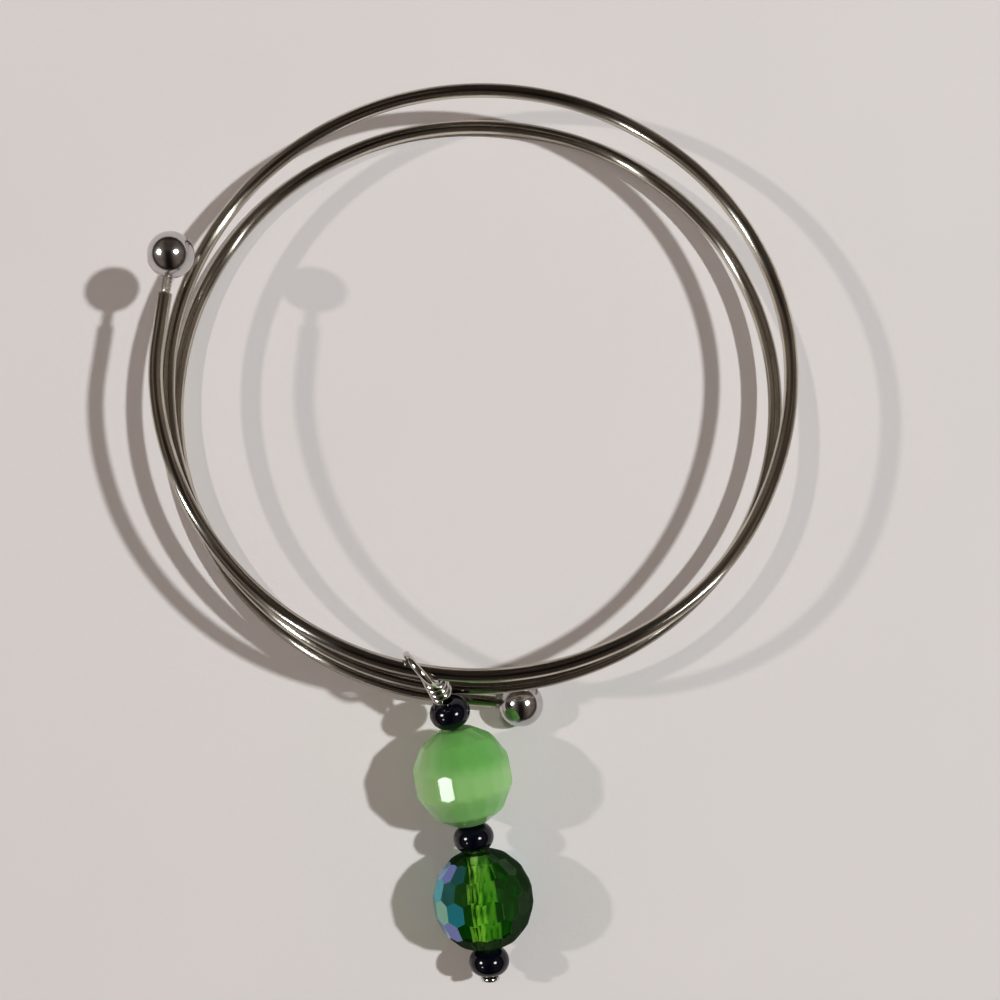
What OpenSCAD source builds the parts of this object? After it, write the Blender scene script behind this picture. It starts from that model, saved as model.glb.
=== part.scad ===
// Charm bangle: one springy steel wire wound a little over two turns, with a screw-on ball at each
// end and a pin of five beads that hangs by a ring from the top strand.
// It lies as it rests on a table. The coil's axis is the Z axis, Z = 0 is the table, and the
// charm points to -Y. Angles are in degrees, counted round the coil from +X.

/* [Coil] */
// Thickness of the bangle wire
wire_d = 1.4; // [1.2:0.1:1.6]
// Coil radius, to the middle of the wire
coil_r = 30; // [28:0.5:32]
// Rise from the lowest strand to the top strand, middle to middle
coil_rise = 11.8; // [10.8:0.2:13]
// Straight run from the coil to the middle of the upper ball
upper_run = 8.75; // [7.25:0.25:10]
// Straight run from the coil to the middle of the lower ball
lower_run = 7.85; // [6.85:0.25:9]

/* [Ball ends] */
// Thickness of each screw-on ball
ball_d = 4.6; // [4:0.1:5.4]
// Thickness of the threaded stud over its ridges
stud_d = 1.04; // [0.9:0.02:1.1]
// Depth of the thread
thread_depth = 0.1; // [0.06:0.01:0.14]
// Distance from ridge to ridge along a stud
thread_pitch = 0.35; // [0.25:0.05:0.5]
// Length of stud that shows at the upper ball
upper_stud_show = 1.5; // [0.5:0.1:2]
// Length of stud that shows at the lower ball
lower_stud_show = 0.3; // [0.2:0.1:1.2]
// Depth of a stud inside its ball
stud_reach = 2.1; // [1.4:0.1:2.4]
// Room round a stud, and past its tip, inside the ball
stud_room = 0.08; // [0.05:0.01:0.15]

/* [Charm pin] */
// Thickness of the pin wire
pin_d = 0.7; // [0.6:0.05:0.75]
// Width of the pin's flat head
head_d = 1.9; // [1.5:0.1:2.6]
// Thickness of the pin's flat head
head_t = 0.5; // [0.3:0.05:0.8]
// Place on the coil where the ring hangs
ring_angle = 259; // [257:0.5:262]
// Heading of the ring seen from above, towards the beads
ring_heading = -52; // [-58:1:-48]
// Room between the ring and the bangle wire where the ring is narrowest
ring_room = 0.27; // [0.25:0.01:0.4]
// Turns that the pin wire makes round its own neck
wrap_turns = 3.2; // [2:0.1:3.4]
// Room between one turn and the next, and under them
wrap_room = 0.1; // [0.06:0.01:0.14]
// Length of the neck, from the ring to the bend in the top bead
neck_len = 5.7; // [5.2:0.1:6.2]
// Slope of the ring and the neck below level
neck_tilt = 46; // [44:0.5:50]
// Heading of the neck seen from above
neck_heading = -66; // [-74:1:-62]
// Heading of the string of beads seen from above
shank_heading = -80; // [-90:1:-76]
// Heading of the tail past the crystal bead
tail_heading = -86; // [-92:1:-82]

/* [Beads] */
// Width of the cat's-eye bead across opposite facets
cats_eye_d = 9.7; // [8.5:0.1:10.4]
// Length of the cat's-eye bead
cats_eye_len = 9.75; // [8.8:0.1:10.6]
// Width of the crystal bead across opposite facets
crystal_d = 9.9; // [8.8:0.1:10.6]
// Length of the crystal bead
crystal_len = 9.85; // [8.8:0.1:10.6]
// Facets in each row round a bead
facets_round = 16; // [12:2:20]
// Turn of the cat's-eye bead on the pin
cats_eye_roll = 19; // [0:1:22]
// Turn of the crystal bead on the pin
crystal_roll = 11; // [0:1:22]
// Width of the black spacer beads
black_d = 4.1; // [3.6:0.1:4.8]
// Length of the black spacer beads
black_len = 2.85; // [2.6:0.05:3.2]
// Width of the hole through every bead
bead_bore = 1.25; // [1.2:0.05:1.4]
// Room between one bead and the next
bead_gap = 0.1; // [0.08:0.01:0.2]

/* [Hidden] */
up = [0, 0, 1];
wire_r = wire_d / 2;
pin_r = pin_d / 2;
ball_r = ball_d / 2;

// The coil. Columns: angle, radius as a share of coil_r, height as a share of coil_rise.
coil = [
    [172, 1.040, 0.945],
    [195, 1.010, 0.980],
    [220, 0.970, 1.000],
    [245, 0.940, 1.005],
    [270, 0.930, 1.005],
    [295, 0.945, 1.000],
    [320, 0.985, 0.950],
    [345, 1.015, 0.865],
    [370, 1.040, 0.775],
    [395, 1.035, 0.690],
    [420, 1.015, 0.620],
    [450, 1.000, 0.560],
    [480, 1.005, 0.520],
    [505, 1.020, 0.500],
    [530, 1.030, 0.505],
    [560, 1.020, 0.520],
    [590, 1.000, 0.510],
    [620, 0.990, 0.485],
    [645, 0.995, 0.450],
    [670, 1.010, 0.395],
    [695, 1.025, 0.315],
    [720, 1.015, 0.220],
    [745, 0.990, 0.135],
    [775, 0.950, 0.055],
    [805, 0.925, 0.010],
    [835, 0.940, 0.000],
    [865, 0.985, 0.000],
    [890, 1.020, 0.025],
    [915, 1.045, 0.060],
    [945, 1.050, 0.095],
    [984, 1.040, 0.125],
];
last_row = len(coil) - 1;
coil_start = coil[0][0];
coil_end = coil[last_row][0];
// Columns of the coil table
radius_share = 1;
height_share = 2;

// Angle between one section of the bangle wire and the next
coil_step = 4;
// Sides of the bangle wire and of the pin wire
wire_sides = 12;
pin_sides = 10;
// Length of the shoulder between the wire and a stud
shoulder = 0.12;
// Length of the pin on each side of the bend in the top bead, and of the bend in the crystal
neck_bend = 1.7;
tail_bend = 4;
// Angle between one section of the pin and the next, on the wraps and on the ring
wrap_step = 15;
ring_step = 12;
// Share of an eased length or of the top bend between one section of the pin and the next, and of
// the slighter bend in the crystal
ease_step = 0.125;
tail_step = 0.25;
// Share of the ring's room by which it hangs below the wire's middle
hang_share = 0.75;
// Angles on the ring where it joins the neck above and below, from the neck's own side
ring_from = 20;
ring_to = 315;
// How far past flat ends the round form of a faceted bead would reach, as a share of its length
tip_share = 1.05;
// Latitudes of the facet rows, from the widest row to the end
cats_eye_rows = [0, 29, 57];
crystal_rows = [0, 22, 44, 64];
smooth = 64;

function unit(v) = v / norm(v);
// The part of v that is square to the direction d
function square_to(v, d) = unit(v - (v * d) * d);
// Direction at a heading seen from above, falling by a tilt
function toward(heading, tilt) = [cos(heading) * cos(tilt), sin(heading) * cos(tilt), -sin(tilt)];

// Smooth curve from p to q that leaves along dp and arrives along dq
function eased(p, dp, q, dq, t) =
    (1 + 2 * t) * pow(1 - t, 2) * p + t * pow(1 - t, 2) * dp
    + pow(t, 2) * (3 - 2 * t) * q + pow(t, 2) * (t - 1) * dq;
// Round bend at a corner, from one leg's length before it to one after it
function bend(corner, before, after, leg, t) =
    corner - pow(1 - t, 2) * leg * before + pow(t, 2) * leg * after;
// Middle of a bead whose pin bends inside it, so that the pin keeps clear of the bore
function seat_on_bend(corner, before, after, leg, half) =
    let (lean = lean_of(before, after))
    corner + unit(after - before) * (leg * sin(lean) + 2 * half * tan(lean)) / 4;
function lean_of(before, after) = acos(before * after) / 2;

// Row of the coil table at or before an angle
function row_at(angle, row = 0) =
    row + 2 > last_row || coil[row + 1][0] > angle ? row : row_at(angle, row + 1);
// Change of a share for each degree at a row. Both runs leave the coil square to its radius.
function slope(row, column) =
    row > 0 && row < last_row
        ? (coil[row + 1][column] - coil[row - 1][column]) / (coil[row + 1][0] - coil[row - 1][0])
    : column == radius_share ? 0
    : row == 0 ? (coil[1][column] - coil[0][column]) / (coil[1][0] - coil[0][0])
    : lower_climb;
function share(angle, column) =
    let (row = row_at(angle), span = coil[row + 1][0] - coil[row][0])
    eased(coil[row][column], slope(row, column) * span,
        coil[row + 1][column], slope(row + 1, column) * span, (angle - coil[row][0]) / span);
function coil_point(angle) =
    let (r = coil_r * share(angle, radius_share))
    [r * cos(angle), r * sin(angle), wire_r + coil_rise * share(angle, height_share)];

// The lower ball rests on the table, and the lower run climbs evenly to its middle
lower_arc = coil_r * coil[last_row][radius_share] * PI / 180;
lower_rise = ball_r - wire_r - coil_rise * coil[last_row][height_share];
lower_climb = lower_rise / lower_run * lower_arc / coil_rise;
lower_start = coil_point(coil_end);
lower_level = sqrt(pow(lower_run, 2) - pow(lower_rise, 2));
lower_ball = lower_start + [-sin(coil_end) * lower_level, cos(coil_end) * lower_level, lower_rise];
lower_way = unit(lower_ball - lower_start);

// The upper run goes on falling as the coil does at its start
upper_arc = coil_r * coil[0][radius_share] * PI / 180;
upper_fall = slope(0, height_share) * coil_rise / upper_arc;
upper_start = coil_point(coil_start);
upper_way = unit([sin(coil_start), -cos(coil_start), -upper_fall]);
upper_ball = upper_start + upper_run * upper_way;

// Distance along a run and radius there, from the shoulder to the tip of the stud
function stud(run, show) =
    let (foot = run - ball_r - show, tip = run - ball_r + stud_reach)
    let (ridges = floor((tip - foot - shoulder) / thread_pitch), root = stud_d / 2 - thread_depth)
    concat(
        [[foot, wire_r], [foot + shoulder, root]],
        [for (i = [1:ridges], ridge = [true, false])
            [foot + shoulder + (i - (ridge ? 0.5 : 0)) * thread_pitch, ridge ? stud_d / 2 : root]]);

// The charm's ring hangs round the top strand, which crosses it aslant, and is wider for that.
// It steps sideways, so that its end passes its start.
wrap_r = pin_d + wrap_room;
aslant = ring_heading - (ring_angle - 270);
ring_r = (wire_r + pin_r + ring_room) / abs(sin(aslant));
ring_mid = coil_point(ring_angle) - hang_share * ring_room * up;
// The ring's own directions: away from the beads, upward, and to the right of the neck
ring_in = -toward(ring_heading, neck_tilt);
ring_up = square_to(up, ring_in);
ring_side = cross(ring_in, ring_up);
function ring_point(angle) =
    ring_mid + ring_r * (sin(angle) * ring_up - cos(angle) * ring_in)
    + wrap_r * (0.5 - angle / 360) * ring_side;
function ring_run(angle) = sin(angle) * ring_in + cos(angle) * ring_up;

// The neck is straight from a little below the ring. The wraps wind round it, towards the top bead.
neck_top = ring_mid - ring_r * ring_in + wrap_r / 2 * ring_side;
neck_way = toward(neck_heading, neck_tilt);
neck_up = square_to(up, neck_way);
neck_side = cross(neck_up, neck_way);
neck_start = neck_top + pin_d * neck_way;
// Strength of the curve from the ring into the neck
neck_pull = 2 * pin_d;
wrap_from = 0.8 * pin_d;
function wrap_point(angle) =
    neck_top + (wrap_from + wrap_r * angle / 360) * neck_way
    + wrap_r * (sin(angle) * neck_up - cos(angle) * neck_side);

// Places on the string of beads, counted along the shank from the bend in the top bead
top_corner = neck_top + neck_len * neck_way;
level_shank = toward(shank_heading, 0);
top_lean = lean_of(neck_way, level_shank);
top_seat = (neck_bend * sin(top_lean) + 2 * black_len / 2 * tan(top_lean)) / 4 * sin(top_lean);
top_face = top_seat + black_len / 2 + (black_d - black_len) / 2 * sin(top_lean);
cats_eye_at = top_face + bead_gap + cats_eye_len / 2;
middle_at = cats_eye_at + cats_eye_len / 2 + bead_gap + black_len / 2;
crystal_at = middle_at + black_len / 2 + bead_gap + crystal_len / 2;

// Corners of a faceted bead. A flat facet touches the round form in its middle, and each row is
// turned by half a facet from the row beside it.
function facet_reach(r, h, row) = sqrt(pow(r * cos(row), 2) + pow(h * sin(row), 2));
// Where two facets of row a meet one facet of row b, as [radius, height]
function corner_between(r, h, a, b) =
    let (narrow = cos(180 / facets_round))
    let (xa = cos(a) * narrow, xb = cos(b), spread = xa * sin(b) - xb * sin(a))
    let (da = facet_reach(r, h, a), db = facet_reach(r, h, b))
    [(da * sin(b) - db * sin(a)) / spread, (xa * db - xb * da) / spread];
function half_bead(r, h, end, rows, roll) =
    let (last = len(rows) - 1, step = 360 / facets_round, row = rows[last])
    let (end_r = (facet_reach(r, h, row) - end * sin(row)) / (cos(row) * cos(step / 2)))
    concat(
        [for (j = [0:last - 1], k = [0:facets_round - 1], lower = [true, false])
            let (c = lower ? corner_between(r, h, rows[j], rows[j + 1])
                : corner_between(r, h, rows[j + 1], rows[j]))
            let (turn = roll + (k + (lower ? 0.5 : 0) + j / 2) * step)
            [c[0] * cos(turn), c[0] * sin(turn), c[1]]],
        [for (k = [0:facets_round - 1])
            let (turn = roll + (k + 0.5 + last / 2) * step)
            [end_r * cos(turn), end_r * sin(turn), end]]);
function bead_corners(width, length, rows, roll) =
    let (half = half_bead(width / 2, tip_share * length / 2, length / 2, rows, roll))
    concat(half, [for (p = half) [p[0], p[1], -p[2]]]);

// Height of the crystal's middle when its lowest corner is on the table, for a direction of its bore
crystal_corners = bead_corners(crystal_d, crystal_len, crystal_rows, crystal_roll);
function crystal_way(tilt) = unit(toward(shank_heading, tilt) + toward(tail_heading, tilt));
function rest_height(way) =
    let (lean = acos(way[2]))
    max([for (p = crystal_corners) p[0] * sin(lean) - p[2] * cos(lean)]);
// The shank's slope follows from the bend's height and the crystal's, found in a few rounds
function settled(tilt, rounds) =
    rounds == 0 ? tilt
    : settled(asin((top_corner[2] - rest_height(crystal_way(tilt))) / crystal_at), rounds - 1);
shank_tilt = settled(0, 4);
shank_way = toward(shank_heading, shank_tilt);
tail_way = toward(tail_heading, shank_tilt);
tail_corner = top_corner + crystal_at * shank_way;
bottom_at = crystal_len / 2 + bead_gap + black_len / 2;
head_at = bottom_at + black_len / 2 + bead_gap;

// The pin's middle line and radius, from the cut end of the wraps to the head
pin_path = concat(
    [for (angle = [360 * wrap_turns:-wrap_step:1]) wrap_point(angle)],
    [for (t = [0:ease_step:1 - ease_step])
        eased(wrap_point(0), -ring_r * neck_up, ring_point(ring_to), -ring_r * ring_run(ring_to), t)],
    [for (angle = [ring_to:-ring_step:ring_from + ring_step / 2]) ring_point(angle)],
    [for (t = [0:ease_step:1])
        eased(ring_point(ring_from), -neck_pull * ring_run(ring_from),
            neck_start, neck_pull * neck_way, t)],
    [for (t = [0:ease_step:1]) bend(top_corner, neck_way, shank_way, neck_bend, t)],
    [for (t = [0:tail_step:1]) bend(tail_corner, shank_way, tail_way, tail_bend, t)]);
// Distance past the bead and radius there, for the flat head with its rounded rim
head = [
    [0, pin_r],
    [0.1 * head_t, 0.45 * head_d],
    [0.3 * head_t, 0.5 * head_d],
    [0.7 * head_t, 0.5 * head_d],
    [head_t, 0.42 * head_d],
];

// A round bar along a path, with a radius at each point and no twist
module sweep(path, radii, sides) {
    last = len(path) - 1;
    ways = [for (i = [0:last]) unit(path[min(i + 1, last)] - path[max(i - 1, 0)])];
    first = square_to(abs(ways[0][2]) < 0.9 ? up : [1, 0, 0], ways[0]);
    across = [for (i = 0, side = first; i <= last;
        i = i + 1, side = i <= last ? square_to(side, ways[i]) : side) side];
    points = [for (i = [0:last], k = [0:sides - 1])
        path[i] + radii[i] * (cos(360 * k / sides) * across[i]
            + sin(360 * k / sides) * cross(ways[i], across[i]))];
    walls = [for (i = [0:last - 1], k = [0:sides - 1], lower = [true, false])
        let (a = i * sides + k, b = i * sides + (k + 1) % sides)
        lower ? [a, a + sides, b] : [b, a + sides, b + sides]];
    start_face = [for (k = [0:sides - 1]) k];
    end_face = [for (k = [sides - 1:-1:0]) last * sides + k];
    polyhedron(points = points, faces = concat(walls, [start_face, end_face]));
}

// Moves a bead that stands on the Z axis to its place, with its bore along a direction
module along(place, way) {
    translate(place) rotate([0, acos(way[2]), atan2(way[1], way[0])]) children();
}

module bore(width, length) {
    cylinder(d = width, h = length, center = true, $fn = smooth);
}

module faceted_bead(width, length, rows, roll) {
    corners = bead_corners(width, length, rows, roll);
    difference() {
        hull() polyhedron(points = corners, faces = [[for (i = [0:len(corners) - 1]) i]]);
        bore(bead_bore, 2 * length);
    }
}

// Barrel with a half-round outline, drilled on its axis
module spacer() {
    rotate_extrude($fn = smooth) intersection() {
        translate([(black_d - black_len) / 2, 0]) circle(d = black_len, $fn = smooth);
        translate([bead_bore / 2, -black_len]) square([black_d, 2 * black_len]);
    }
}

module screw_ball(middle, way) {
    along(middle, -way) difference() {
        sphere(d = ball_d, $fn = smooth);
        translate([0, 0, ball_r - stud_reach - 2 * stud_room])
            cylinder(d = stud_d + 2 * stud_room, h = ball_d, $fn = smooth);
    }
}

module bangle_wire() {
    steps = ceil((coil_end - coil_start) / coil_step);
    upper = stud(upper_run, upper_stud_show);
    lower = stud(lower_run, lower_stud_show);
    turns = [for (i = [0:steps]) coil_point(coil_start + (coil_end - coil_start) * i / steps)];
    path = concat(
        [for (i = [len(upper) - 1:-1:0]) upper_start + upper[i][0] * upper_way],
        turns,
        [for (s = lower) lower_start + s[0] * lower_way]);
    radii = concat(
        [for (i = [len(upper) - 1:-1:0]) upper[i][1]],
        [for (p = turns) wire_r],
        [for (s = lower) s[1]]);
    color("silver") sweep(path, radii, wire_sides);
}

module ball_end_upper() {
    color("silver") screw_ball(upper_ball, upper_way);
}

module ball_end_lower() {
    color("silver") screw_ball(lower_ball, lower_way);
}

module charm_pin() {
    path = concat(pin_path, [for (s = head) tail_corner + (head_at + s[0]) * tail_way]);
    radii = concat([for (p = pin_path) pin_r], [for (s = head) s[1]]);
    color("gainsboro") sweep(path, radii, pin_sides);
}

module bead_black_top() {
    middle = seat_on_bend(top_corner, neck_way, shank_way, neck_bend, black_len / 2);
    color("midnightblue") along(middle, unit(neck_way + shank_way)) spacer();
}

module bead_cats_eye() {
    color("seagreen") along(top_corner + cats_eye_at * shank_way, shank_way)
        faceted_bead(cats_eye_d, cats_eye_len, cats_eye_rows, cats_eye_roll);
}

module bead_black_middle() {
    color("midnightblue") along(top_corner + middle_at * shank_way, shank_way) spacer();
}

module bead_crystal() {
    middle = seat_on_bend(tail_corner, shank_way, tail_way, tail_bend, crystal_len / 2);
    color("darkgreen") along(middle, crystal_way(shank_tilt))
        faceted_bead(crystal_d, crystal_len, crystal_rows, crystal_roll);
}

module bead_black_bottom() {
    color("midnightblue") along(tail_corner + bottom_at * tail_way, tail_way) spacer();
}

bangle_wire();
ball_end_upper();
ball_end_lower();
charm_pin();
bead_black_top();
bead_cats_eye();
bead_black_middle();
bead_crystal();
bead_black_bottom();
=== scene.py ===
import math

import bpy
import numpy as np
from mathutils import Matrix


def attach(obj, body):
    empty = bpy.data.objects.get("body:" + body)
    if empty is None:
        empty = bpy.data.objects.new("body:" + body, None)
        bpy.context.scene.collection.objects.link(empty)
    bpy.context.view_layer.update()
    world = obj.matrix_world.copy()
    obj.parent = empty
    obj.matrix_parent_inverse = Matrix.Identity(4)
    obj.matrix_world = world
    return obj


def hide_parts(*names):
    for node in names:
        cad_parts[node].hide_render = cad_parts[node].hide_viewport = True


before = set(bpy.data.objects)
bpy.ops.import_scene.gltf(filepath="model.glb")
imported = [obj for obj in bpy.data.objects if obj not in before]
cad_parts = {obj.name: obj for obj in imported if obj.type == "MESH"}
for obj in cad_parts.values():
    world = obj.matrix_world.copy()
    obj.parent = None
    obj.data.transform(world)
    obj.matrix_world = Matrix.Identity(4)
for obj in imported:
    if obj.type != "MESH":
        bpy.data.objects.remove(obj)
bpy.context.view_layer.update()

mm = 0.001  # every length below is in millimetres until it goes into a mesh
up = np.array([0.0, 0.0, 1.0])
turn = 2 * math.pi


def unit(v):
    return v / np.linalg.norm(v, axis=-1, keepdims=True)


# The part of v that is square to the direction d
def squareTo(v, d):
    return unit(v - (v * d).sum(-1, keepdims=True) * d)


# Direction at a heading seen from above, falling by a tilt, both in degrees
def toward(heading, tilt):
    h, t = math.radians(heading), math.radians(tilt)
    return np.array([math.cos(h) * math.cos(t), math.sin(h) * math.cos(t), -math.sin(t)])


# Cubic from p to q that leaves along dp and arrives along dq, at the shares t of the way
def eased(p, dp, q, dq, t):
    t = np.asarray(t, float).reshape(-1, 1)
    return ((1 + 2 * t) * (1 - t) ** 2 * p + t * (1 - t) ** 2 * dp
            + t**2 * (3 - 2 * t) * q + t**2 * (t - 1) * dq)


# Round bend at a corner: a quadratic from one leg's length before it to one after it
def bend(corner, before, after, leg, t):
    t = np.asarray(t, float).reshape(-1, 1)
    return corner - (1 - t) ** 2 * leg * before + t**2 * leg * after


# Three directions for a bead that stands on its bore: across, across and along it
def standing(way):
    lean, heading = math.acos(way[2]), math.atan2(way[1], way[0])
    across = [math.cos(lean) * math.cos(heading), math.cos(lean) * math.sin(heading), -math.sin(lean)]
    return np.array([across, [-math.sin(heading), math.cos(heading), 0.0], way])


# Points of an arc of [radius, height] about a centre, from one angle to another in degrees
def arc(centre, r, start, end, count):
    a = np.radians(np.linspace(start, end, count))
    return np.stack([centre[0] + r * np.cos(a), centre[1] + r * np.sin(a)], 1)


def addPiece(name, mesh):
    mesh.polygons.foreach_set("use_smooth", np.ones(len(mesh.polygons), bool))
    mesh.update()
    piece = bpy.data.objects.new(name, mesh)
    bpy.context.scene.collection.objects.link(piece)
    return piece


# A grid of points, rows by columns, that closes on itself along its columns. Its first and last
# rows end in poles, or join each other where it is a ring. The map's u goes round it, and v is the
# length along it.
def gridPiece(name, grid, v, ring=False):
    n, m = grid.shape[:2]
    i, k = np.meshgrid(np.arange(n if ring else n - 1), np.arange(m), indexing="ij")
    i, k = i.ravel(), k.ravel()
    j, l = (i + 1) % n, (k + 1) % m
    faces = np.stack([i * m + k, i * m + l, j * m + l, j * m + k], 1)
    vNext = np.append(v[1:], 2 * v[-1] - v[-2])
    around, rise = (k, k + 1, k + 1, k), (v[i], v[i], vNext[i], vNext[i])
    corners = [np.stack([a / m, b], 1) for a, b in zip(around, rise)]
    uv = np.stack(corners, 1).reshape(-1, 2)
    points, faces = grid.reshape(-1, 3), faces.tolist()
    if not ring:
        points = np.vstack([points, grid[0].mean(0), grid[-1].mean(0)])
        k = np.arange(m)
        l, z = (k + 1) % m, (n - 1) * m
        faces += np.stack([np.full(m, n * m), l, k], 1).tolist()
        faces += np.stack([np.full(m, n * m + 1), z + k, z + l], 1).tolist()
        first = [np.stack([a / m, np.full(m, v[0])], 1) for a in (k + 0.5, k + 1, k)]
        final = [np.stack([a / m, np.full(m, v[-1])], 1) for a in (k + 0.5, k, k + 1)]
        uv = np.vstack([uv, np.stack(first, 1).reshape(-1, 2), np.stack(final, 1).reshape(-1, 2)])
    mesh = bpy.data.meshes.new(name)
    mesh.from_pydata((points * mm).tolist(), [], faces)
    mesh.uv_layers.new(name="along").data.foreach_set("uv", uv.astype(np.float32).ravel())
    return addPiece(name, mesh)


def lengthsAlong(points):
    return np.append(0, np.cumsum(np.linalg.norm(np.diff(points, axis=0), axis=1)))


# A round profile carried along a path with no twist. radii holds one radius for each section, or
# one for each section and side. The loop is over sections alone.
def sweptPiece(name, path, radii, sides):
    ways = unit(np.gradient(path, axis=0))
    across = np.empty_like(path)
    across[0] = squareTo(up if abs(ways[0][2]) < 0.9 else np.array([1.0, 0, 0]), ways[0])
    for i in range(1, len(path)):
        across[i] = squareTo(across[i - 1], ways[i])
    third = np.cross(ways, across)
    phi = np.arange(sides) * turn / sides
    radii = np.broadcast_to(radii.reshape(len(path), -1), (len(path), sides))[..., None]
    spokes = np.cos(phi)[:, None] * across[:, None] + np.sin(phi)[:, None] * third[:, None]
    return gridPiece(name, path[:, None] + radii * spokes, lengthsAlong(path))


# A profile of [radius, height] points turned about the bore's direction
def turnedPiece(name, profile, place, way, sides, ring=False):
    axes = standing(way)
    phi = np.arange(sides) * turn / sides
    spoke = np.cos(phi)[:, None] * axes[0] + np.sin(phi)[:, None] * axes[1]
    grid = place + profile[:, 0, None, None] * spoke + profile[:, 1, None, None] * axes[2]
    return gridPiece(name, grid, lengthsAlong(profile), ring)


def startMaterial(name):
    material = bpy.data.materials.new(name)
    material.use_nodes = True
    nodes, links = material.node_tree.nodes, material.node_tree.links
    return material, nodes, links, nodes["Principled BSDF"]


# Links a value to a socket where it comes from a node, and sets it there where it is a number
def feed(links, value, socket):
    if isinstance(value, bpy.types.NodeSocket):
        links.new(value, socket)
    elif value is not None:
        socket.default_value = value


def mathNode(nodes, links, operation, a, b=None, c=None, clamp=False):
    node = nodes.new("ShaderNodeMath")
    node.operation, node.use_clamp = operation, clamp
    for socket, value in zip(node.inputs, (a, b, c)):
        feed(links, value, socket)
    return node.outputs[0]


def mixColour(nodes, links, factor, a, b):
    node = nodes.new("ShaderNodeMix")
    node.data_type = "RGBA"
    for socket, value in zip((node.inputs[0], node.inputs[6], node.inputs[7]), (factor, a, b)):
        feed(links, value, socket)
    return node.outputs[2]


def noise(nodes, links, vector, scale, detail=3.0, rough=0.5):
    node = nodes.new("ShaderNodeTexNoise")
    for socketName, value in (("Vector", vector), ("Scale", scale), ("Detail", detail), ("Roughness", rough)):
        feed(links, value, node.inputs[socketName])
    return node.outputs["Fac"]


# Goes from start to end as the value goes from low to high, softly at both or, without soft,
# evenly. A look holds a fade as low, high, start and end.
def fade(nodes, links, value, low, high, start=0.0, end=1.0, soft=True):
    node = nodes.new("ShaderNodeMapRange")
    if soft:
        node.interpolation_type = "SMOOTHSTEP"
    numbers = {"Value": value, "From Min": low, "From Max": high, "To Min": start, "To Max": end}
    for socketName, number in numbers.items():
        feed(links, number, node.inputs[socketName])
    return node.outputs["Result"]


def splitWay(nodes, links, vector):
    node = nodes.new("ShaderNodeSeparateXYZ")
    links.new(vector, node.inputs[0])
    return node.outputs


def objectCoords(nodes):
    return nodes.new("ShaderNodeTexCoord").outputs["Object"]


# Coordinates drawn out by a scale on each axis
def stretched(nodes, links, vector, scale):
    node = nodes.new("ShaderNodeMapping")
    node.inputs["Scale"].default_value = scale
    links.new(vector, node.inputs["Vector"])
    return node.outputs[0]


# Coordinates centred on a place in millimetres and turned about the vertical
def centredOn(nodes, links, vector, place, angle):
    node = nodes.new("ShaderNodeMapping")
    node.vector_type = "TEXTURE"
    node.inputs["Location"].default_value = place * mm
    node.inputs["Rotation"].default_value = (0, 0, angle)
    links.new(vector, node.inputs["Vector"])
    return node.outputs[0]


def startGroup(name, numbers, outputs):
    group = bpy.data.node_groups.new(name, "ShaderNodeTree")
    for socketName, value in numbers.items():
        socket = group.interface.new_socket(socketName, in_out="INPUT", socket_type="NodeSocketFloat")
        socket.default_value = value
    for socketName in outputs:
        group.interface.new_socket(socketName, in_out="OUTPUT", socket_type="NodeSocketFloat")
    return group, group.nodes.new("NodeGroupInput"), group.nodes.new("NodeGroupOutput")


# Handling marks on a polished surface: soft smears where it has been touched, and fine hairline
# scratches that are noise squeezed to thin lines. Smear and Scratch are masks from 0 to 1.
handlingLook = {"smearDetail": 2.0, "smearFrom": 0.45, "smearTo": 0.7, "scratchDetail": 4.0,
                "scratchHalf": 0.035, "sizes": {"Smear Size": 4.0, "Scratch Size": 0.6}}


def makeHandling():
    look = handlingLook
    group, given, out = startGroup("handlingMarks", look["sizes"], ("Smear", "Scratch"))
    nodes, links = group.nodes, group.links
    coords = objectCoords(nodes)
    fields = {}
    for name, detail in (("Smear", look["smearDetail"]), ("Scratch", look["scratchDetail"])):
        size = mathNode(nodes, links, "MULTIPLY", given.outputs[name + " Size"], mm)
        fields[name] = noise(nodes, links, coords, mathNode(nodes, links, "DIVIDE", 1.0, size), detail)
    smear = fade(nodes, links, fields["Smear"], look["smearFrom"], look["smearTo"])
    # distance from the noise's middle value makes thin wandering lines
    away = mathNode(nodes, links, "ABSOLUTE", mathNode(nodes, links, "SUBTRACT", fields["Scratch"], 0.5))
    scratch = fade(nodes, links, away, 0.0, look["scratchHalf"], 1.0, 0.0)
    links.new(smear, out.inputs["Smear"])
    links.new(scratch, out.inputs["Scratch"])
    return group


# Drawing lines along a wire: noise on the piece's own map, close round the wire and long along it
def makeDrawnLines():
    group, given, out = startGroup("drawnLines", {"Lines Round": 60.0, "Line Length": 8.0}, ("Lines",))
    nodes, links = group.nodes, group.links
    split = splitWay(nodes, links, nodes.new("ShaderNodeTexCoord").outputs["UV"])
    # u becomes a circle, so that the pattern meets itself at the seam
    angle = mathNode(nodes, links, "MULTIPLY", split["X"], turn)
    spread = mathNode(nodes, links, "DIVIDE", given.outputs["Lines Round"], turn)
    join = nodes.new("ShaderNodeCombineXYZ")
    for socketName, operation in (("X", "COSINE"), ("Y", "SINE")):
        wave = mathNode(nodes, links, operation, angle)
        links.new(mathNode(nodes, links, "MULTIPLY", wave, spread), join.inputs[socketName])
    links.new(mathNode(nodes, links, "DIVIDE", split["Y"], given.outputs["Line Length"]), join.inputs["Z"])
    links.new(noise(nodes, links, join.outputs[0], 1.0, 2.0), out.inputs["Lines"])
    return group


handlingMarks = makeHandling()
drawnLines = makeDrawnLines()


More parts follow.
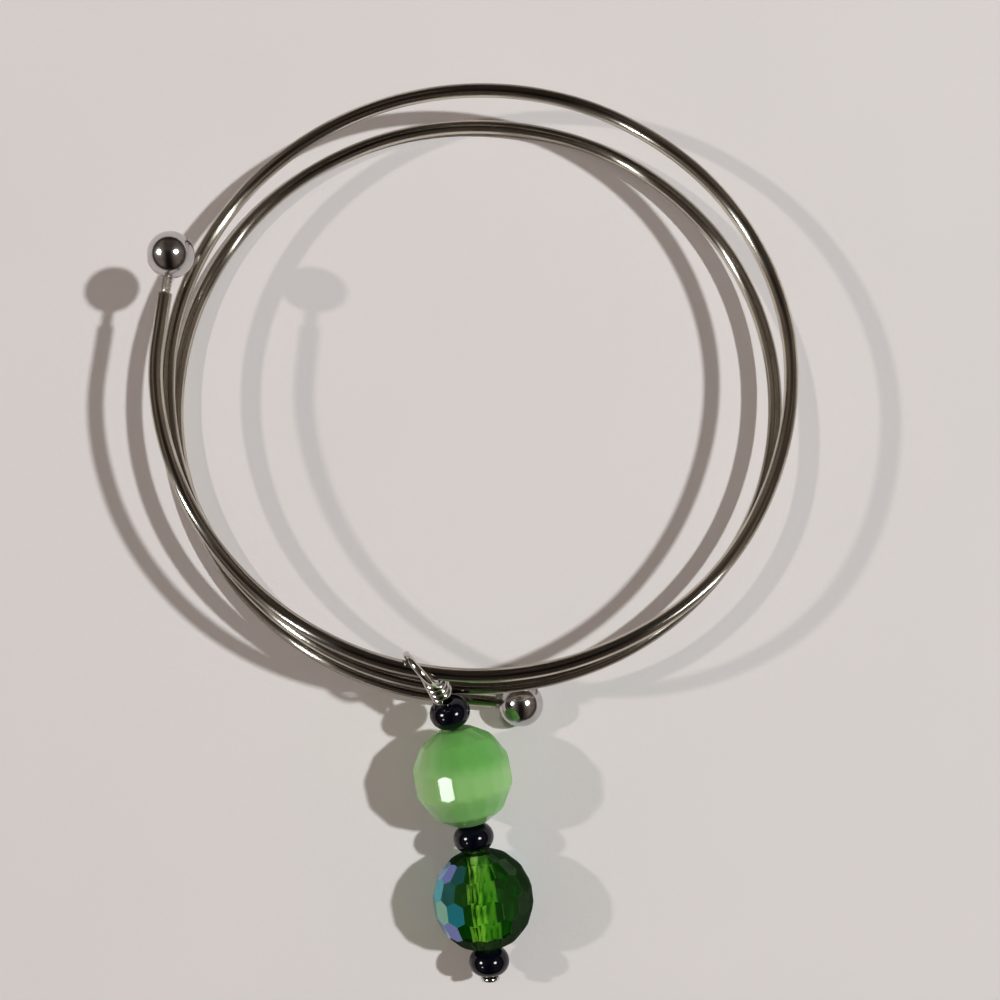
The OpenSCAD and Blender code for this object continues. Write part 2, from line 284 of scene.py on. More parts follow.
def useGroup(nodes, group, **numbers):
    node = nodes.new("ShaderNodeGroup")
    node.node_tree = group
    for name, value in numbers.items():
        node.inputs[name.replace("_", " ")].default_value = value
    return node.outputs


def addBump(nodes, links, shader, height, depth):
    node = nodes.new("ShaderNodeBump")
    node.inputs["Strength"].default_value = 1.0
    node.inputs["Distance"].default_value = depth * mm
    links.new(height, node.inputs["Height"])
    links.new(node.outputs["Normal"], shader.inputs["Normal"])


# Sets a node's plain sockets from a dictionary of their names
def setPlain(node, numbers):
    for socketName, number in numbers.items():
        node.inputs[socketName].default_value = number


# Handling marks of a look's sizes, whose smears add to its roughness
def handled(nodes, links, shader, look):
    marks = useGroup(nodes, handlingMarks, Smear_Size=look["smearSize"], Scratch_Size=look["scratchSize"])
    rough = mathNode(nodes, links, "MULTIPLY_ADD", marks["Smear"], look["smearRough"], look["rough"])
    links.new(rough, shader.inputs["Roughness"])
    return marks, rough


# A polished metal's look: bright and handled colours, roughness and what smears add to it, sizes of
# smears and scratches, depth of the bump, how far lights spread across the wire, and its drawn lines
# if it has any: how many round it, their length, their weight in the bump and how dark the painted shade in
# their bottoms is
wireLook = {"bright": (0.66, 0.61, 0.53, 1), "dull": (0.55, 0.5, 0.42, 1), "rough": 0.16, "smearRough": 0.05,
            "smearSize": 5.0, "scratchSize": 0.9, "bumpDepth": 0.0012, "spreadAcross": 0.95,
            "lines": {"round": 11, "length": 16, "weight": 26, "dark": 0.9}}
ballLook = {"bright": (0.61, 0.585, 0.585, 1), "dull": (0.53, 0.51, 0.51, 1), "rough": 0.13,
            "smearRough": 0.05, "smearSize": 2.2, "scratchSize": 0.8, "bumpDepth": 0.0006,
            "spreadAcross": 0.0, "lines": None}
pinLook = {"bright": (0.7, 0.68, 0.64, 1), "dull": (0.55, 0.52, 0.48, 1), "rough": 0.07, "smearRough": 0.1,
           "smearSize": 1.5, "scratchSize": 0.5, "bumpDepth": 0.0012, "spreadAcross": 0.0,
           "lines": {"round": 16, "length": 5, "weight": 4, "dark": 0.3}}
scratchShare = 0.3  # of the smears' roughness
scratchWeight = 0.15  # in the bump
# painted shade in the grooves of the drawn lines
lineShade = 0.45  # of the handled colour, at the bottoms of the drawn lines
lineFade = (0.57, 0.43)  # values of the noise at a line's edge and at its bottom


# Polished metal: a bright base, darker and duller where it has been handled, with hairlines
def polishedMetal(name, look):
    material, nodes, links, shader = startMaterial(name)
    lines = look["lines"]
    # a quarter turn of the rotation spreads lights across the coil, not along it
    setPlain(shader, {"Metallic": 1.0, "Anisotropic": look["spreadAcross"], "Anisotropic Rotation": 0.25})
    marks, rough = handled(nodes, links, shader, look)
    colour = mixColour(nodes, links, marks["Smear"], look["bright"], look["dull"])
    # painted shade in the grooves: the bottoms of the drawn lines are darkened
    if lines:  # the drawn lines are darker at their bottoms
        drawn = useGroup(nodes, drawnLines, Lines_Round=lines["round"], Line_Length=lines["length"])["Lines"]
        bottom = fade(nodes, links, drawn, *lineFade, 0.0, lines["dark"])
        darkest = tuple(lineShade * c for c in look["dull"][:3]) + (1,)
        colour = mixColour(nodes, links, bottom, colour, darkest)
    links.new(colour, shader.inputs["Base Color"])
    rough = mathNode(nodes, links, "MULTIPLY_ADD", marks["Scratch"], scratchShare * look["smearRough"], rough)
    links.new(rough, shader.inputs["Roughness"])
    height = mathNode(nodes, links, "MULTIPLY", marks["Scratch"], scratchWeight)
    if lines:
        height = mathNode(nodes, links, "MULTIPLY_ADD", drawn, lines["weight"], height)
    addBump(nodes, links, shader, height, look["bumpDepth"])
    return material


wireSteel = polishedMetal("wireSteel", wireLook)
ballChrome = polishedMetal("ballChrome", ballLook)
pinSilver = polishedMetal("pinSilver", pinLook)
print("made the metals")


# Pressed black glass with a hint of navy: deep gloss, a faint orange-peel waviness and smears on it
blackGlassLook = {"deep": (0.0008, 0.0008, 0.003, 1), "light": (0.0025, 0.0025, 0.009, 1), "tintScale": 420.0,
                  "smearSize": 1.6, "scratchSize": 0.5, "rough": 0.05, "smearRough": 0.07,
                  "peelScale": 900.0, "peelDepth": 0.006, "plain": {"IOR": 1.55, "Specular IOR Level": 0.3}}


def makeBlackGlass():
    look = blackGlassLook
    material, nodes, links, shader = startMaterial("blackGlass")
    coords = objectCoords(nodes)
    tint = noise(nodes, links, coords, look["tintScale"], 2.0)
    links.new(mixColour(nodes, links, tint, look["deep"], look["light"]), shader.inputs["Base Color"])
    handled(nodes, links, shader, look)
    setPlain(shader, look["plain"])
    addBump(nodes, links, shader, noise(nodes, links, coords, look["peelScale"], 1.0), look["peelDepth"])
    return material


blackGlass = makeBlackGlass()

# The wire: its sizes, and the straight runs from the coil's ends to the balls' middles. Each row of
# the coil is an angle in degrees, a share of the radius and a share of the rise.
wireBuild = {"wireD": 1.4, "coilR": 30, "coilRise": 11.8, "upperRun": 8.75, "lowerRun": 7.85, "sides": 40,
             "step": 1.0, "runStep": 0.4, "runStop": 0.3, "threadStep": 0.03, "threadStop": 0.12,
             "threadFade": 0.3, "rootRound": 0.02, "tipRound": 0.1, "tipDrop": 0.2}
coilRows = np.array([
    [172, 1.040, 0.945], [195, 1.010, 0.980], [220, 0.970, 1.000], [245, 0.940, 1.005], [270, 0.930, 1.005],
    [295, 0.945, 1.000], [320, 0.985, 0.950], [345, 1.015, 0.865], [370, 1.040, 0.775], [395, 1.035, 0.690],
    [420, 1.015, 0.620], [450, 1.000, 0.560], [480, 1.005, 0.520], [505, 1.020, 0.500], [530, 1.030, 0.505],
    [560, 1.020, 0.520], [590, 1.000, 0.510], [620, 0.990, 0.485], [645, 0.995, 0.450], [670, 1.010, 0.395],
    [695, 1.025, 0.315], [720, 1.015, 0.220], [745, 0.990, 0.135], [775, 0.950, 0.055], [805, 0.925, 0.010],
    [835, 0.940, 0.000], [865, 0.985, 0.000], [890, 1.020, 0.025], [915, 1.045, 0.060], [945, 1.050, 0.095],
    [984, 1.040, 0.125]])
# The ball ends: the stud that each is screwed on, how much of it shows, and how far it reaches in
ballBuild = {"ballD": 4.6, "studD": 1.04, "threadDepth": 0.1, "threadPitch": 0.35, "upperShow": 1.5,
             "lowerShow": 0.3, "reach": 2.1, "room": 0.08, "shoulder": 0.12, "sides": 96, "mouthRound": 0.12,
             "floorRound": 0.1}
wireR, ballR = wireBuild["wireD"] / 2, ballBuild["ballD"] / 2
coilR, coilRise = wireBuild["coilR"], wireBuild["coilRise"]
angles, shares = coilRows[:, 0], coilRows[:, 1:]
slopes = np.zeros_like(shares)
slopes[1:-1] = (shares[2:] - shares[:-2]) / (angles[2:] - angles[:-2])[:, None]
slopes[0, 1] = (shares[1, 1] - shares[0, 1]) / (angles[1] - angles[0])

# The lower ball rests on the table, and the wire climbs evenly to its middle
lowerArc = math.radians(coilR * shares[-1, 0])
lowerRise = ballR - wireR - coilRise * shares[-1, 1]
slopes[-1, 1] = lowerRise / wireBuild["lowerRun"] * lowerArc / coilRise


# Middle of the wire at angles in degrees: a smooth curve through the rows
def coilPoint(angle):
    angle = np.atleast_1d(np.asarray(angle, float))
    i = np.clip(np.searchsorted(angles, angle, side="right") - 1, 0, len(angles) - 2)
    span = (angles[i + 1] - angles[i])[:, None]
    t = ((angle - angles[i]) / span[:, 0])[:, None]
    s = eased(shares[i], slopes[i] * span, shares[i + 1], slopes[i + 1] * span, t)
    a, r = np.radians(angle), coilR * s[:, 0]
    return np.stack([r * np.cos(a), r * np.sin(a), wireR + coilRise * np.maximum(s[:, 1], 0)], 1)


coilStart, coilEnd = angles[0], angles[-1]
lowerStart, upperStart = coilPoint(coilEnd)[0], coilPoint(coilStart)[0]
lowerLevel = math.sqrt(wireBuild["lowerRun"] ** 2 - lowerRise**2)
endTurn, startTurn = math.radians(coilEnd), math.radians(coilStart)
lowerReach = [-math.sin(endTurn) * lowerLevel, math.cos(endTurn) * lowerLevel, lowerRise]
lowerBall = lowerStart + np.array(lowerReach)
lowerWay = unit(lowerBall - lowerStart)
upperFall = slopes[0, 1] * coilRise / math.radians(coilR * shares[0, 0])
upperWay = unit(np.array([math.sin(startTurn), -math.cos(startTurn), -upperFall]))
upperBall = upperStart + wireBuild["upperRun"] * upperWay


# Sections of a run and its threaded stud: distance along it, and a radius for each side. The wire
# ends in a small rounded step. The thread is a helix: its crest follows distance over pitch less the
# share of a turn, and fades in and out at its ends.
def runSections(run, show, hand):
    w, b = wireBuild, ballBuild
    foot, tip = run - ballR - show, run - ballR + b["reach"]
    root, crown = b["studD"] / 2 - b["threadDepth"], b["studD"] / 2
    start, tipRound = foot + b["shoulder"], w["tipRound"]
    # the wire's small step, as places along it from its foot and inwards
    step = np.array([[-0.12, 0], [-0.05, 0.005], [-0.02, 0.02], [0.01, 0.06], [0.02, 0.12]])
    plain = np.append(np.arange(w["runStep"], foot - w["runStop"], w["runStep"]), foot + step[:, 0])
    plainR = wireR - np.append(np.zeros(len(plain) - len(step)), step[:, 1])
    thread = np.arange(start, tip - w["threadStop"], w["threadStep"])
    thread = np.append(thread, [tip - tipRound, tip - tipRound / 2, tip])
    side = np.arange(w["sides"]) / w["sides"]
    crest = 0.5 - 0.5 * np.cos(turn * ((thread[:, None] - start) / b["threadPitch"] - hand * side))
    rising = np.clip((thread - start) / w["threadFade"], 0, 1)
    crest *= (rising * np.clip((tip - tipRound - thread) / w["threadFade"], 0, 1))[:, None]
    rounding = np.clip((thread - tip + tipRound) / tipRound, 0, 1)[:, None]
    threadR = root + (crown - root) * crest - w["tipDrop"] * rounding**2
    s = np.concatenate([plain, [start - w["rootRound"]], thread])
    wide = lambda r: np.repeat(np.asarray(r)[:, None], w["sides"], 1)
    return s, np.vstack([wide(plainR), wide([root + w["rootRound"]]), threadR])


def makeWire():
    sides = wireBuild["sides"]
    upperS, upperRadii = runSections(wireBuild["upperRun"], ballBuild["upperShow"], -1)
    lowerS, lowerRadii = runSections(wireBuild["lowerRun"], ballBuild["lowerShow"], 1)
    count = int((coilEnd - coilStart) / wireBuild["step"]) + 1
    turns = coilPoint(np.linspace(coilStart, coilEnd, count))
    upper, lower = upperStart + upperS[::-1, None] * upperWay, lowerStart + lowerS[:, None] * lowerWay
    path = np.vstack([upper, turns, lower])
    radii = np.vstack([upperRadii[::-1], np.full((count, sides), wireR), lowerRadii])
    return sweptPiece("wireCoil", path, radii, sides)


# Ball with a drilled seat for its stud: the round outside, a rounded mouth and the bore
def makeBall(name, middle, way):
    seat = ballBuild["studD"] / 2 + ballBuild["room"]
    lip = ballBuild["mouthRound"]
    mouth = math.degrees(math.acos((seat + lip) / ballR))
    top = ballR * math.sin(math.radians(mouth))
    bottom = ballR - ballBuild["reach"] - 2 * ballBuild["room"]
    outside = arc((0, 0), ballR, -89, mouth, 72)  # from just beside the pole
    lipArc = arc((seat + lip, top - lip), lip, 85, 180, 7)
    r = ballBuild["floorRound"]
    floor = [[seat, bottom + r], [seat - 0.3 * r, bottom + 0.3 * r], [seat - r, bottom]]
    return turnedPiece(name, np.vstack([outside, lipArc, floor]), middle, -way, ballBuild["sides"])


def finish(piece, materials, node):
    for material in materials:
        piece.data.materials.append(material)
    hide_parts(node)
    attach(piece, "root")
    print("made", piece.name, len(piece.data.polygons), "faces")


finish(makeWire(), [wireSteel], "bangle_wire")
finish(makeBall("ballUpper", upperBall, upperWay), [ballChrome], "ball_end_upper")
finish(makeBall("ballLower", lowerBall, lowerWay), [ballChrome], "ball_end_lower")

# The pin: its head, its ring round the top strand, the wraps, the neck down to the beads and the
# shank through them, which bends in the top spacer and again in the crystal
pinBuild = {"pinD": 0.7, "headD": 1.9, "headT": 0.5, "ringAngle": 259, "ringHeading": -52, "ringRoom": 0.27,
            "wrapTurns": 3.2, "wrapRoom": 0.1, "wrapFrom": 0.8, "neckLen": 5.7, "neckTilt": 46,
            "neckHeading": -66, "shankHeading": -80, "tailHeading": -86, "hang": 0.75, "ringFrom": 20,
            "ringTo": 315, "neckBend": 1.7, "tailBend": 4, "sides": 24}
# The beads share their facets in a row, how far the round form reaches past the flat ends, the gap
# between them, and the angle from which an edge is softened. Each has its width, length and bore, and
# a faceted one its rows up from the middle in degrees, its roll, and its edges' softness and steps.
beadBuild = {"facets": 16, "tipShare": 1.05, "gap": 0.1, "sharpFrom": 8}
spacerBuild = {"width": 4.1, "length": 2.85, "bore": 1.25, "lip": 0.1, "lipRoom": 0.02, "sides": 80}
catsEyeBuild = {"width": 9.7, "length": 9.75, "bore": 1.25, "rows": (0, 29, 57), "roll": 19,
                "edge": 0.28, "edgeSteps": 4}
crystalBuild = {"width": 9.9, "length": 9.85, "bore": 1.7, "rows": (0, 22, 44, 64), "roll": 11,
                "edge": 0.05, "edgeSteps": 2}

pinD, pinR = pinBuild["pinD"], pinBuild["pinD"] / 2
wrapR = pinD + pinBuild["wrapRoom"]
aslant = pinBuild["ringHeading"] - (pinBuild["ringAngle"] - 270)
ringR = (wireR + pinR + pinBuild["ringRoom"]) / abs(math.sin(math.radians(aslant)))
ringMid = coilPoint(pinBuild["ringAngle"])[0] - pinBuild["hang"] * pinBuild["ringRoom"] * up
ringIn = -toward(pinBuild["ringHeading"], pinBuild["neckTilt"])
ringUp = squareTo(up, ringIn)
ringSide = np.cross(ringIn, ringUp)
neckTop = ringMid - ringR * ringIn + wrapR / 2 * ringSide
neckWay = toward(pinBuild["neckHeading"], pinBuild["neckTilt"])
neckUp = squareTo(up, neckWay)
neckSide = np.cross(neckUp, neckWay)
neckStart = neckTop + pinD * neckWay
topCorner = neckTop + pinBuild["neckLen"] * neckWay


# The ring is a circle that steps sideways as it goes, and the wraps are a helix round the neck
def ringPoint(angle):
    a = np.radians(np.asarray(angle, float)).reshape(-1, 1)
    return ringMid + ringR * (np.sin(a) * ringUp - np.cos(a) * ringIn) + wrapR * (0.5 - a / turn) * ringSide


def ringRun(angle):
    return math.sin(math.radians(angle)) * ringIn + math.cos(math.radians(angle)) * ringUp


def wrapPoint(angle):
    a = np.radians(np.asarray(angle, float)).reshape(-1, 1)
    along = pinBuild["wrapFrom"] * pinD + wrapR * a / turn
    return neckTop + along * neckWay + wrapR * (np.sin(a) * neckUp - np.cos(a) * neckSide)


# Corners of a faceted bead, standing on its bore. Where two facets of one row meet one of the next,
# the corner's radius and height come from the three planes, each a flat that touches the round form.
def facetReach(r, h, row):
    return math.hypot(r * math.cos(row), h * math.sin(row))


def cornerBetween(r, h, a, b, facets):
    xa, xb = math.cos(a) * math.cos(math.pi / facets), math.cos(b)
    spread = xa * math.sin(b) - xb * math.sin(a)
    da, db = facetReach(r, h, a), facetReach(r, h, b)
    return (da * math.sin(b) - db * math.sin(a)) / spread, (xa * db - xb * da) / spread


# Blocks of corners for the upper half: for each pair of rows the meeting points above the middle
# row's edges and middles, and last the corners of the flat end
def beadBlocks(build):
    n, last = beadBuild["facets"], len(build["rows"]) - 1
    step, k = turn / n, np.arange(n)
    r, h, end = build["width"] / 2, beadBuild["tipShare"] * build["length"] / 2, build["length"] / 2
    rows, roll = [math.radians(a) for a in build["rows"]], math.radians(build["roll"])
    blocks = []
    for j in range(last):
        for a, b, shift in ((j, j + 1, 0.5), (j + 1, j, 0.0)):
            radius, height = cornerBetween(r, h, rows[a], rows[b], n)
            at = roll + (k + shift + j / 2) * step
            blocks.append(np.stack([radius * np.cos(at), radius * np.sin(at), np.full(n, height)], 1))
    endR = (facetReach(r, h, rows[-1]) - end * math.sin(rows[-1])) / (math.cos(rows[-1]) * math.cos(step / 2))
    at = roll + (k + 0.5 + last / 2) * step
    blocks.append(np.stack([endR * np.cos(at), endR * np.sin(at), np.full(n, end)], 1))
    return blocks, at


crystalCorners = np.vstack(beadBlocks(crystalBuild)[0])
crystalCorners = np.vstack([crystalCorners, crystalCorners * [1, 1, -1]])

# Places on the string of beads, counted along the shank from the bend in the top bead
gap, blackLen, blackD = beadBuild["gap"], spacerBuild["length"], spacerBuild["width"]
levelShank = toward(pinBuild["shankHeading"], 0)


def leanOf(before, after):
    return math.acos(before @ after) / 2


topLean = leanOf(neckWay, levelShank)
topSeat = (pinBuild["neckBend"] * math.sin(topLean) + blackLen * math.tan(topLean)) / 4 * math.sin(topLean)
topFace = topSeat + blackLen / 2 + (blackD - blackLen) / 2 * math.sin(topLean)
catsEyeAt = topFace + gap + catsEyeBuild["length"] / 2
middleAt = catsEyeAt + catsEyeBuild["length"] / 2 + gap + blackLen / 2
crystalAt = middleAt + blackLen / 2 + gap + crystalBuild["length"] / 2


def crystalWayAt(tilt):
    return unit(toward(pinBuild["shankHeading"], tilt) + toward(pinBuild["tailHeading"], tilt))


# Height of the crystal's middle when its lowest corner is on the table
def restHeight(way):
    lean = math.acos(way[2])
    return (crystalCorners[:, 0] * math.sin(lean) - crystalCorners[:, 2] * math.cos(lean)).max()


# The shank's fall and the crystal's rest depend on each other, and settle in four rounds
shankTilt = 0.0
for _ in range(4):
    shankTilt = math.degrees(math.asin((topCorner[2] - restHeight(crystalWayAt(shankTilt))) / crystalAt))
shankWay, tailWay = toward(pinBuild["shankHeading"], shankTilt), toward(pinBuild["tailHeading"], shankTilt)
crystalWay = crystalWayAt(shankTilt)
tailCorner = topCorner + crystalAt * shankWay
bottomAt = crystalBuild["length"] / 2 + gap + blackLen / 2
headAt = bottomAt + blackLen / 2 + gap


# Middle of a bead whose pin bends inside it
def seatOnBend(corner, before, after, leg, half):
    lean = leanOf(before, after)
    return corner + unit(after - before) * (leg * math.sin(lean) + 2 * half * math.tan(lean)) / 4


def makePin():
    b = pinBuild
    wrapEnd, ringFrom, ringTo = 360 * b["wrapTurns"], b["ringFrom"], b["ringTo"]
    intoRing = eased(wrapPoint(0)[0], -ringR * neckUp, ringPoint(ringTo)[0], -ringR * ringRun(ringTo),
                     np.arange(0, 0.99, 0.0625))
    intoNeck = eased(ringPoint(ringFrom)[0], -2 * pinD * ringRun(ringFrom), neckStart, 2 * pinD * neckWay,
                     np.linspace(0, 1, 13))
    wraps, ring = wrapPoint(np.arange(wrapEnd, 0.5, -6)), ringPoint(np.arange(ringTo, ringFrom + 3, -5))
    path = np.vstack([
        wraps, intoRing, ring, intoNeck,
        bend(topCorner, neckWay, shankWay, b["neckBend"], np.linspace(0, 1, 13)),
        bend(tailCorner, shankWay, tailWay, b["tailBend"], np.linspace(0, 1, 9))])
    # the wraps end in a cut face with a small rounding: places past the end and shares of the radius
    cut = np.array([[0.06, 0.72], [0.03, 0.92]])
    radii = np.append(cut[:, 1] * pinR, np.full(len(path), pinR))
    path = np.vstack([path[0] + unit(path[0] - path[1]) * cut[:, :1], path])
    # the head is a flat disc with a rounded rim, whose sections never stand still
    rim = b["headT"] / 2
    out = arc((b["headD"] / 2 - rim, rim), rim, -90, 90, 11)[:, ::-1]
    out[:, 0] = np.maximum(out[:, 0], np.arange(1, 12) * 0.002)
    head = np.vstack([[[0, pinR]], out])
    path = np.vstack([path, tailCorner + (headAt + head[:, :1]) * tailWay])
    return sweptPiece("charmPin", path, np.append(radii, head[:, 1]), b["sides"])


# Black spacer: a half-round outside, a softly rounded hole
def makeSpacer(name, place, way):
    bore, half, lipR = spacerBuild["bore"] / 2, blackLen / 2, spacerBuild["lip"]
    centre = (blackD - blackLen) / 2
    edge = math.degrees(math.acos((bore + lipR + spacerBuild["lipRoom"] - centre) / half))
    top = half * math.sin(math.radians(edge))
    outside = arc((centre, 0), half, -edge, edge, 48)
    lip = arc((bore + lipR, top - lipR), lipR, 95, 180, 6)
    profile = np.vstack([outside, lip, lip[::-1] * [1, -1]])
    return turnedPiece(name, profile, place, way, spacerBuild["sides"], ring=True)


# Faceted bead: hexagons round it in rows, five-sided facets at its flat ends, and a round bore. Each
# facet's corners follow from its row and number, and the lower half is the mirror image.
def makeFacetedBead(name, build, place, way):
    n, last, steps = beadBuild["facets"], len(build["rows"]) - 1, 4
    blocks, at = beadBlocks(build)
    k = np.arange(n)
    ahead, back = (k + 1) % n, (k - 1) % n
    boreAt = (at[-1] + np.arange(n * steps) * turn / (n * steps))
    bore, boreEnd = build["bore"] / 2, np.full(n * steps, build["length"] / 2)
    blocks.append(np.stack([bore * np.cos(boreAt), bore * np.sin(boreAt), boreEnd], 1))
    half = np.vstack(blocks)
    mirror = len(half)
    points = np.vstack([half, half * [1, 1, -1]])
    low, high = (lambda j, i: 2 * j * n + i), (lambda j, i: (2 * j + 1) * n + i)
    end, ring = (lambda i: 2 * last * n + i), (2 * last + 1) * n
    upper = [low(0, k), high(0, k), low(0, back)]
    facets = [upper + [corner + mirror for corner in upper[::-1]]]
    for j in range(1, last):
        above = [low(j, k), high(j, k), low(j, back)]
        facets.append([low(j - 1, k), high(j - 1, ahead)] + above + [high(j - 1, k)])
    facets.append([low(last - 1, k), high(last - 1, ahead), end(k), end(back), high(last - 1, k)])
    facets.append([end(back), end(k)] + [ring + (k * steps + s) % (n * steps) for s in range(steps, -1, -1)])
    faces = np.stack(facets[0], 1).tolist()
    for facet in facets[1:]:
        upper = np.stack(facet, 1)
        faces += upper.tolist() + (upper[:, ::-1] + mirror).tolist()
    i = np.arange(n * steps)
    nextI = (i + 1) % (n * steps)
    faces += np.stack([ring + i, ring + nextI, ring + nextI + mirror, ring + i + mirror], 1).tolist()
    mesh = bpy.data.meshes.new(name)
    mesh.from_pydata(((place + points @ standing(way)) * mm).tolist(), [], faces)
    return addPiece(name, mesh)


# Softens the edges between facets a little, as fire polishing does
def softenEdges(piece, build):
    bevel = piece.modifiers.new("facetEdges", "BEVEL")
    bevel.width, bevel.segments = build["edge"] * mm, build["edgeSteps"]
    bevel.limit_method, bevel.angle_limit = "ANGLE", math.radians(beadBuild["sharpFrom"])
    bevel.harden_normals = True


catsEyePlace = topCorner + catsEyeAt * shankWay
crystalPlace = seatOnBend(tailCorner, shankWay, tailWay, pinBuild["tailBend"], crystalBuild["length"] / 2)

# Cat's-eye glass: milky green with fine straight fibres and a painted sheen, a soft lighter band across them.
# The band's tilt is in degrees and its lengths in millimetres from the bead's middle. Painted light spreads
# from it into a paler left side, and the lower end is painted a little paler too.
catsEyeLook = {"deep": (0.16, 0.44, 0.105, 1), "light": (0.31, 0.58, 0.21, 1), "pale": (0.5, 0.8, 0.38, 1),
               "sheenTilt": 9, "sheenAt": -0.7, "sheenInner": 0.5, "sheenOuter": 2.6,
               "fibreScale": (900, 220, 900), "fibreGain": 0.25, "fibreBase": -0.12,
               "leftPaintedLight": (-0.5, -4.6, 0.0, 0.8), "lowerPaintedLight": (-1.8, -3.6, 0.0, 0.2),
               "smearSize": 3.0, "scratchSize": 0.7, "rough": 0.06, "smearRough": 0.06, "bumpDepth": 0.0006,
               "plain": {"IOR": 1.55, "Specular IOR Level": 0.3, "Subsurface Weight": 0.75,
                         "Subsurface Radius": (0.5, 1.0, 0.35), "Subsurface Scale": 0.0022}}


def makeCatsEyeGlass():
    look = catsEyeLook
    material, nodes, links, shader = startMaterial("catsEyeGlass")
    place = centredOn(nodes, links, objectCoords(nodes), catsEyePlace, math.radians(look["sheenTilt"]))
    # fibres run across the band, drawn out along Y
    fibres = noise(nodes, links, stretched(nodes, links, place, look["fibreScale"]), 1.0, 3.0, 0.6)
    split = splitWay(nodes, links, place)
    wander = mathNode(nodes, links, "MULTIPLY_ADD", fibres, mm, -0.5 * mm)
    across = mathNode(nodes, links, "ADD", split["Y"], wander)
    # painted sheen: a lighter band across the fibres, in place of the shine that cat's-eye glass shows
    away = mathNode(nodes, links, "ABSOLUTE", mathNode(nodes, links, "SUBTRACT", across, look["sheenAt"] * mm))
    paintedSheen = fade(nodes, links, away, look["sheenInner"] * mm, look["sheenOuter"] * mm, 1.0, 0.0)
    share = mathNode(nodes, links, "MULTIPLY_ADD", fibres, look["fibreGain"], look["fibreBase"])
    share = mathNode(nodes, links, "ADD", paintedSheen, share, clamp=True)
    # painted light: the left side and the lower end are made paler where the lamps leave them darker
    sides = []
    for axis, (low, high, start, end) in (("X", look["leftPaintedLight"]), ("Y", look["lowerPaintedLight"])):
        sides.append(fade(nodes, links, split[axis], low * mm, high * mm, start, end))
    paintedLight = mathNode(nodes, links, "MAXIMUM", *sides)
    # the lighter colour is partly the fibres' own tone and partly the painted sheen
    colour = mixColour(nodes, links, share, look["deep"], look["light"])
    links.new(mixColour(nodes, links, paintedLight, colour, look["pale"]), shader.inputs["Base Color"])
    marks = handled(nodes, links, shader, look)[0]
    setPlain(shader, look["plain"])
    addBump(nodes, links, shader, marks["Scratch"], look["bumpDepth"])
    return material


# Clear dark green glass. Its depth of colour comes from absorption inside, and lamps pass through it
# with a green tint. Its rim is painted shade, a dark diffuse mixed in where the glass is seen aslant.
crystalLook = {"skin": (0.8, 0.97, 0.76, 1), "dusty": 0.9, "smearSize": 2.5, "scratchSize": 0.6,
               "smearRough": 0.03, "rough": 0.0, "inside": (0.6, 0.86, 0.25, 1), "density": 590,
               "rim": (0.004, 0.018, 0.003, 1), "rimShadeFade": (0.22, 0.55, 0.0, 0.93),
               "shadeInside": (0.8, 0.95, 0.72, 1), "shadeOutside": (0.03, 0.06, 0.028, 1),
               "plain": {"IOR": 1.56, "Specular IOR Level": 0.3, "Transmission Weight": 1.0}}


# Lamps pass through the crystal: a shadow ray is tinted little from inside and much from outside
def tintShadow(nodes, links, surface):
    through = nodes.new("ShaderNodeBsdfTransparent")
    inside = nodes.new("ShaderNodeNewGeometry").outputs["Backfacing"]
    tint = mixColour(nodes, links, inside, crystalLook["shadeOutside"], crystalLook["shadeInside"])
    links.new(tint, through.inputs["Color"])
    mix = nodes.new("ShaderNodeMixShader")
    links.new(nodes.new("ShaderNodeLightPath").outputs["Is Shadow Ray"], mix.inputs[0])
    links.new(surface, mix.inputs[1])
    links.new(through.outputs[0], mix.inputs[2])
    links.new(mix.outputs[0], nodes["Material Output"].inputs["Surface"])


def makeCrystalGlass():
    look = crystalLook
    material, nodes, links, shader = startMaterial("crystalGlass")
    marks = handled(nodes, links, shader, look)[0]
    dusty = tuple(look["dusty"] * c for c in look["skin"][:3]) + (1,)
    links.new(mixColour(nodes, links, marks["Smear"], look["skin"], dusty), shader.inputs["Base Color"])
    setPlain(shader, look["plain"])
    depth = nodes.new("ShaderNodeVolumeAbsorption")
    setPlain(depth, {"Color": look["inside"], "Density": look["density"]})
    # painted shade: seen aslant, a dark green diffuse takes the place of the glass and what it mirrors
    facing = nodes.new("ShaderNodeLayerWeight")
    facing.inputs["Blend"].default_value = 0.5
    rim = fade(nodes, links, facing.outputs["Facing"], *look["rimShadeFade"])
    deep = nodes.new("ShaderNodeBsdfDiffuse")
    deep.inputs["Color"].default_value = look["rim"]
    body = nodes.new("ShaderNodeMixShader")
    for value, socket in zip((rim, shader.outputs[0], deep.outputs[0]), body.inputs):
        links.new(value, socket)
    tintShadow(nodes, links, body.outputs[0])
    links.new(depth.outputs[0], nodes["Material Output"].inputs["Volume"])
    return material


violet, teal, cyan, blue = (0.2, 0.17, 0.62), (0.09, 0.5, 0.5), (0.03, 0.42, 0.58), (0.16, 0.3, 0.66)
paleGreen, deepTeal = (0.3, 0.62, 0.45), (0.01, 0.09, 0.09)
# Angles from the top between which the coat lies, and the tints of each coated row of facets, from
# the top downwards. Row 3 is the middle one, and row 1 is nearer the cat's-eye bead.
coatLook = {"from": 27, "to": 236, "rowStep": 22, "middleRow": 3,
            "rows": {1: (deepTeal, violet, blue), 2: (deepTeal, cyan, teal), 3: (cyan, paleGreen, teal),
                     4: (violet, blue, teal)},
            "patch": (0.05, 0.35, 0.3, 1), "patchScale": 700.0, "patchShare": 0.5, "metallic": 0.55,
            "smearSize": 1.5, "scratchSize": 0.6, "rough": 0.12, "smearRough": 0.08}


